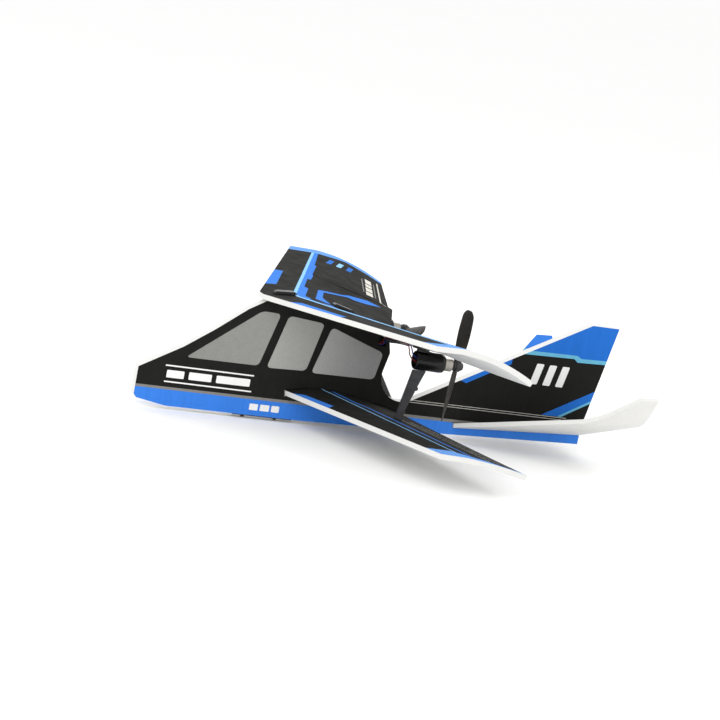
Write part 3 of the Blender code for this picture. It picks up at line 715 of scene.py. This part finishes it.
def fuselage_prints():
    shapes = [
        ("blue", [(-1.0, -1.0), (175.0, -1.0), (181.5, -1.4), (270.0, 2.4), (270.0, -12.0), (-1.0, -12.0)]),
        ("grey", [(-1.0, 0.4), (120.0, 0.5), (212.0, 0.5), (212.0, -1.2), (120.0, -1.1), (-1.0, -1.0)]),
        ("window_front", rounded([(24.6, 17.5), (61.8, 47.1), (72.3, 46.8), (64.9, 17.5)], 2.6)),
        ("window_middle", rounded([(76.9, 46.4), (97.4, 44.5), (91.6, 17.7), (69.5, 17.0)], 2.6)),
        ("window_rear", rounded([(101.9, 43.1), (133.4, 32.5), (130.8, 17.4), (94.8, 17.0)], 2.6)),
        ("white", stripe([(14.6, 12.0), (63.5, 11.7)], 0.75)),
        ("white", stripe([(15.1, 3.3), (63.5, 3.0)], 0.75)),
        ("silver", stripe([(153.9, 7.4), (245.0, 7.3)], 0.36)),
        ("silver", stripe([(154.8, 8.6), (247.9, 8.5)], 0.36)),
        ("deep_blue", [(200.0, 44.1), (218.2, 44.1), (247.0, 44.5), (249.7, 43.0), (270.0, 43.6), (270.0, 64.0),
                       (240.0, 64.0)]),
        ("cyan", [(205.0, 44.1), (218.2, 44.1), (247.0, 44.5), (249.7, 43.0), (270.0, 43.6), (270.0, 41.4),
                  (247.8, 40.7), (245.5, 42.5), (215.2, 41.8), (205.0, 41.6)]),
        ("deep_blue", [(181.3, 22.7), (184.4, 21.6), (196.3, 28.4), (207.3, 34.2), (208.8, 35.3), (208.8, 44.0),
                       (176.0, 30.0)]),
        ("deep_blue", [(264.0, 26.6), (261.5, 25.3), (232.5, 9.0), (242.2, 9.0), (260.8, 20.0), (264.0, 21.2)]),
        ("cyan", [(264.0, 21.2), (260.8, 20.0), (242.2, 9.0), (244.6, 9.0), (260.6, 18.4), (264.0, 19.6)]),
    ]
    for low, high in ((15.8, 25.4), (28.0, 40.6), (43.2, 62.0)):
        shapes.append(("white", rounded(bar(low, high, 5.5, 9.6), 0.6)))
    for low, high in ((64.0, 68.8), (70.0, 75.2), (76.4, 80.8)):
        shapes.append(("white", rounded(bar(low, high, -6.9, -3.4), 0.5)))
    for low in (221.6, 229.4, 237.2):
        shapes.append(("white", rounded(bar(low, low + 4.4, 25.6, 37.4, 2.4), 0.7)))
    return shapes


def cutter(name, stations, side_ys, waterlines):
    """A block that a foam piece is cut with."""
    bm = bmesh.new()
    bmesh.ops.create_cube(bm, size=1.0)
    low = place(stations[0], side_ys[0], waterlines[0])
    high = place(stations[1], side_ys[1], waterlines[1])
    for vert in bm.verts:
        vert.co = Vector([blend(a, b, c + 0.5) for a, b, c in zip(low, high, vert.co)])
    mesh = bpy.data.meshes.new(name)
    bm.to_mesh(mesh)
    bm.free()
    made = bpy.data.objects.new(name, mesh)
    bpy.context.scene.collection.objects.link(made)
    return made


def build_fuselage():
    spots, triangles = tiled(fuselage_outline(), fuselage_holes(), fuselage_prints(), [], [])
    made = foam_piece("fuselage_foam", spots, triangles, lambda spot: place(spot.x, -BOARD / 2, spot.y),
                      lambda spot: place(spot.x, BOARD / 2, spot.y), both_printed=True, edge_radius=0.1)
    blocks = [cutter("pocket_front", (26.0, 78.0), (-2.3, 2.3), (-6.8, 6.6)),
              cutter("pocket_door", (55.3, 89.6), (-2.3, 2.3), (-12.0, -6.7))]
    for station in CLIP_STATIONS:
        top = on_side_view(wing_point(UPPER_WING, 0.0, wing_share(UPPER_WING, station, 0.0)))[1]
        blocks.append(cutter("clip_pocket", (station - 4.1, station + 4.1), (-1.2, 1.2), (top - 12.4, top)))
    for index, block in enumerate(blocks):
        step = made.modifiers.new(f"hollow_{index}", "BOOLEAN")
        step.operation = "DIFFERENCE"
        step.object = block
        step.solver = "EXACT"
        made.modifiers.move(len(made.modifiers) - 1, index)
    depsgraph = bpy.context.evaluated_depsgraph_get()
    final = bpy.data.meshes.new_from_object(made.evaluated_get(depsgraph))
    made.modifiers.clear()
    made.data = final
    for block in blocks:
        bpy.data.objects.remove(block)
    bm = bmesh.new()
    bm.from_mesh(final)
    # A thin black sheet closes the wire notch and its cut walls are inked black: painted shade in the notch under the
    # upper wing.
    low, high = NOTCH[0] - 0.3, NOTCH[1] + 0.3
    corners = [place(station, -0.1, NOTCH[2] - 0.3) for station in (low, high)]
    corners += [under_upper_wing(station, -0.1, 0.0) for station in (high, low)]
    slab(bm, corners, Vector((0.0, 0.2 * MM, 0.0)))
    black = INK_ORDER.index("black")
    for face in bm.faces:
        station, waterline = on_side_view(face.calc_center_median())
        if low <= station <= high and waterline > NOTCH[2] - 0.4:
            face.material_index = black
    bm.to_mesh(final)
    bm.free()
    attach(made, "airframe")
    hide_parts("fuselage_board")


# ------------------------------------------------------------------ propellers

def blade_section(radius, spin, steps=16):
    """Points round a blade at a radius: a thin lens, twisted less towards the tip."""
    share = radius / PROP_RADIUS
    chord = 2.6 + 5.2 * math.sin(math.pi * min(share * 0.62 + 0.05, 0.5))
    if share > 0.86:
        chord *= math.sqrt(max(1.0 - ((share - 0.86) / 0.15) ** 2, 0.05))
    thick = blend(1.5, 0.7, share)
    pitch = math.radians(blend(60.0, 26.0, share))
    middle = blend(2.0, 1.7, share)
    points = []
    for step in range(steps):
        turn = 2 * math.pi * step / steps
        across = chord / 2 * math.cos(turn)
        through = thick / 2 * math.sin(turn) * (0.55 + 0.45 * abs(math.sin(turn)))
        along = across * math.sin(pitch) + through * math.cos(pitch)
        sideways = (across * math.cos(pitch) - through * math.sin(pitch)) * spin
        points.append(Vector((along + middle, sideways, radius)))
    return points


def ring_skin(bm, rings, caps=True):
    """Faces between rings of vertices, and over the two ends."""
    for ring, after in zip(rings, rings[1:]):
        for step in range(len(ring)):
            bm.faces.new((ring[step], ring[(step + 1) % len(ring)], after[(step + 1) % len(ring)], after[step]))
    if caps:
        bm.faces.new(rings[0])
        bm.faces.new(rings[-1])


def turned_rings(bm, profile, segments):
    """Closed rings of vertices about local X from a profile of (along, radius)."""
    turns = [2 * math.pi * step / segments for step in range(segments)]
    return [[bm.verts.new((along, radius * math.cos(turn), radius * math.sin(turn))) for turn in turns]
            for along, radius in profile]


def thrust_line(side):
    """The motor's axis: origin at the propeller hub's front face, local X aft."""
    line = Matrix.Translation(place(HUB_STATION, side * MOTOR_Y, HUB_WATERLINE))
    return line @ Matrix.Rotation(math.radians(THRUST_TILT), 4, "Y")


def build_propeller(tag, side):
    """Two blades faired into a moulded hub with a stepped collar and a short spinner."""
    bm = bmesh.new()
    radii = [1.0, 2.2, 3.4, 5.0, 7.0, 9.5, 12.5, 15.5, 18.5, 21.5, 24.0, 26.2, 27.8, 29.0, 29.8, 30.4, PROP_RADIUS]
    for number in range(2):
        turn = Matrix.Rotation(math.pi * number, 3, "X")
        rings = [[bm.verts.new(turn @ spot) for spot in blade_section(radius, side)] for radius in radii]
        ring_skin(bm, rings)
    profile = [(0.0, 0.75), (0.0, 2.5), (0.15, 2.65), (0.9, 2.65), (1.0, 2.9), (1.2, 3.1), (3.2, 3.1), (3.5, 3.0),
               (3.7, 2.75), (4.6, 2.2), (5.2, 1.9), (5.4, 1.6), (5.4, 0.75)]
    rings = turned_rings(bm, profile, 40)
    blades = len(bm.faces)
    ring_skin(bm, rings + rings[:1], caps=False)
    bm.faces.ensure_lookup_table()
    for face in bm.faces[blades:]:
        face.material_index = 1
    line = thrust_line(side) @ Matrix.Rotation(math.radians(PROP_REST[tag]), 4, "X")
    bmesh.ops.transform(bm, matrix=line @ Matrix.Scale(MM, 4), verts=bm.verts)
    bmesh.ops.recalc_face_normals(bm, faces=bm.faces)
    mesh = bpy.data.meshes.new(f"moulded_propeller_{tag}")
    bm.to_mesh(mesh)
    bm.free()
    mesh.materials.append(LOOKS["blade_brown"])
    mesh.materials.append(LOOKS["satin_black"])
    made = bpy.data.objects.new(f"moulded_propeller_{tag}", mesh)
    bpy.context.scene.collection.objects.link(made)
    mesh.shade_smooth()
    mesh.set_sharp_from_angle(angle=math.radians(38))
    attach(made, f"{tag}_rotor")
    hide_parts(f"propeller_{tag}")


# ------------------------------------------------------------------ motor pods

def under_upper_wing(station, y, gap):
    """A place this far under the upper wing, whose sloped sheet is a little thicker upright."""
    top = wing_point(UPPER_WING, y, wing_share(UPPER_WING, station, y))
    return top - Vector((0.0, 0.0, (SHEET * 1.1 + 0.1 + gap) * MM))


def build_pod(tag, side):
    """A smooth motor tube with its pylon, and the flange glued under the upper wing."""
    bm = bmesh.new()
    front, rear = -22.1, -5.7
    profile = [(front, 3.9), (front, 4.5), (front + 0.2, 4.8), (front + 0.6, 5.0), (front + 1.1, 5.1),
               (rear - 2.2, 5.05), (rear - 1.0, 4.9), (rear - 0.35, 4.7), (rear, 4.4), (rear, 3.9)]
    rings = turned_rings(bm, profile, 56)
    ring_skin(bm, rings + rings[:1], caps=False)
    bmesh.ops.transform(bm, matrix=thrust_line(side) @ Matrix.Scale(MM, 4), verts=bm.verts)
    middle = side * MOTOR_Y
    corners = ((134.9, -3.4), (142.2, -3.4), (142.2, 3.4), (134.9, 3.4))
    flange = [under_upper_wing(station, middle + dy, GAP) for station, dy in corners]
    slab(bm, flange, Vector((0.0, 0.0, -1.1 * MM)))
    inner = middle - side * 1.5
    lean = math.tan(math.radians(THRUST_TILT))
    web = [place(station, inner, HUB_WATERLINE + (HUB_STATION - station) * lean + 4.4) for station in (136.8, 150.0)]
    web += [under_upper_wing(station, inner, 0.5) for station in (145.4, 141.0, 136.8)]
    slab(bm, web, Vector((0.0, side * 3.0 * MM, 0.0)))
    bmesh.ops.recalc_face_normals(bm, faces=bm.faces)
    mesh = bpy.data.meshes.new(f"smooth_pod_{tag}")
    bm.to_mesh(mesh)
    bm.free()
    mesh.materials.append(LOOKS["gloss_black"])
    made = bpy.data.objects.new(f"smooth_pod_{tag}", mesh)
    bpy.context.scene.collection.objects.link(made)
    mesh.shade_smooth()
    mesh.set_sharp_from_angle(angle=math.radians(34))
    edge = made.modifiers.new("soft_edges", "BEVEL")
    edge.width = 0.25 * MM
    edge.segments = 2
    edge.limit_method = "ANGLE"
    edge.angle_limit = math.radians(50)
    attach(made, "airframe")
    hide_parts(f"motor_pod_{tag}")


# ------------------------------------------------------------------ CAD pieces that are shown as they are

def finish_cad_pieces():
    """Detailed materials for the hard pieces, and a small round on their edges."""
    finishes = {
        "strut": ("satin_grey", 0.22), "strut_foot": ("satin_black", 0.2),
        "wing_clip": ("satin_black", 0.25), "motor_can": ("can_steel", 0.0), "motor_end_cap": ("cap_white", 0.15),
        "motor_shaft": ("shaft_steel", 0.05), "motor_wire_red": ("red_wire", 0.0), "wire_tape": ("tape", 0.08),
        "motor_wire_blue": ("blue_wire", 0.0), "belly_plate": ("satin_black", 0.15),
        "belly_peg": ("satin_black", 0.15),
        "power_switch_knob": ("satin_black", 0.12), "switch_body": ("plated_shell", 0.1),
        "charge_socket": ("plated_shell", 0.1), "charge_tongue": ("chip", 0.05), "circuit_board": ("board", 0.0),
        "radio_chip": ("chip", 0.1), "motor_driver_chip": ("chip", 0.1), "battery_cell": ("foil", 0.0),
    }
    for name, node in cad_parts.items():
        if node.hide_render:
            continue
        stem = max((key for key in finishes if name.startswith(key)), key=len)
        look, radius = finishes[stem]
        node.data.materials.clear()
        node.data.materials.append(LOOKS[look])
        if radius:
            edge = node.modifiers.new("soft_edges", "BEVEL")
            edge.width = radius * MM
            edge.segments = 2
            edge.limit_method = "ANGLE"
            edge.angle_limit = math.radians(40)


# ------------------------------------------------------------------ light, floor and camera

def area_light(name, place_at, aim, size, power, tint=(1.0, 1.0, 1.0)):
    data = bpy.data.lights.new(name, "AREA")
    data.shape = "RECTANGLE"
    data.size, data.size_y = size
    data.energy = power
    data.color = tint
    made = bpy.data.objects.new(name, data)
    bpy.context.scene.collection.objects.link(made)
    made.location = place_at
    made.rotation_euler = (Vector(aim) - Vector(place_at)).to_track_quat("-Z", "Y").to_euler()


def build_stage():
    """A pale floor that fades into a pale surround, and a large soft key, fill and rim."""
    world = bpy.data.worlds.new("studio")
    bpy.context.scene.world = world
    world.use_nodes = True
    world.node_tree.nodes["Background"].inputs["Color"].default_value = (1.0, 1.0, 1.0, 1.0)
    world.node_tree.nodes["Background"].inputs["Strength"].default_value = 1.0
    bpy.ops.mesh.primitive_plane_add(size=40.0, location=(0.0, 0.0, -0.0002))
    floor = bpy.context.object
    floor.name = "floor"
    look = Look("floor_paper", 0.9, specular=0.1)
    look.colour(look.mix(look.noise(3.0), (0.97, 0.97, 0.97, 1.0), (0.985, 0.985, 0.98, 1.0)))
    floor.data.materials.append(look.material)
    area_light("key", (-0.9, -0.8, 1.1), (0.0, 0.0, 0.03), (1.3, 1.3), 9.0)
    area_light("fill", (0.9, -1.0, 0.6), (0.0, 0.0, 0.03), (1.0, 1.0), 1.3)
    area_light("rim", (0.5, 1.0, 0.8), (0.0, 0.0, 0.03), (1.0, 0.7), 4.0)
    view = bpy.context.scene.view_settings
    view.view_transform = "Standard"


AIM = Vector((-12.4, 0.0, 38.25)) * MM
AZIMUTH, ELEVATION, ROLL = -20.671, 10.768, 11.006      # degrees
DISTANCE = 1348.67                                      # millimetres
LENS, SENSOR = 125.0, 36.0


def build_camera():
    azimuth, elevation = math.radians(AZIMUTH), math.radians(ELEVATION)
    back = Vector((math.sin(azimuth) * math.cos(elevation), -math.cos(azimuth) * math.cos(elevation),
                   math.sin(elevation)))
    level = (-back).cross(Vector((0.0, 0.0, 1.0))).normalized()
    upright = level.cross(-back)
    turn = math.radians(ROLL)
    right = math.cos(turn) * level + math.sin(turn) * upright
    up = -math.sin(turn) * level + math.cos(turn) * upright
    data = bpy.data.cameras.new("camera")
    data.lens, data.sensor_width = LENS, SENSOR
    data.clip_start, data.clip_end = 0.05, 60.0
    camera = bpy.data.objects.new("camera", data)
    bpy.context.scene.collection.objects.link(camera)
    turned = Matrix((right, up, back)).transposed().to_4x4()
    camera.matrix_world = Matrix.Translation(AIM + back * DISTANCE * MM) @ turned
    bpy.context.scene.camera = camera


# ------------------------------------------------------------------ assembly

CLIP_HOLE_HALF = (4.0, 1.1)     # half length and half width, millimetres
PEG_HOLE_HALF_WIDTH = 1.15
PEG_HOLE_GAP = 0.35             # in front of and behind the peg


def slot_hole(y, half_width, low, high):
    """A rectangular hole in a wing's layout, between two chord shares."""
    return [(y - half_width, low), (y + half_width, low), (y + half_width, high), (y - half_width, high)]


def clip_holes():
    half_length, half_width = CLIP_HOLE_HALF
    shares = [[wing_share(UPPER_WING, station + offset, 0.0) for offset in (-half_length, half_length)]
              for station in CLIP_STATIONS]
    return [slot_hole(0.0, half_width, low, high) for low, high in shares]


def peg_holes():
    ends = (PEG_STATIONS[0] - PEG_HOLE_GAP, PEG_STATIONS[1] + PEG_HOLE_GAP)
    low, high = (wing_share(LOWER_WING, station, MOTOR_Y) for station in ends)
    return [slot_hole(side * MOTOR_Y, PEG_HOLE_HALF_WIDTH, low, high) for side in (-1, 1)]


build_camera()
build_stage()
build_fuselage()
build_wing("upper_wing_foam", UPPER_WING, "upper_wing", upper_wing_prints(), clip_holes())
build_wing("lower_wing_foam", LOWER_WING, "lower_wing", lower_wing_prints(), peg_holes())
build_tailplane()
for tag, side in SIDES.items():
    build_pod(tag, side)
    build_propeller(tag, side)
finish_cad_pieces()
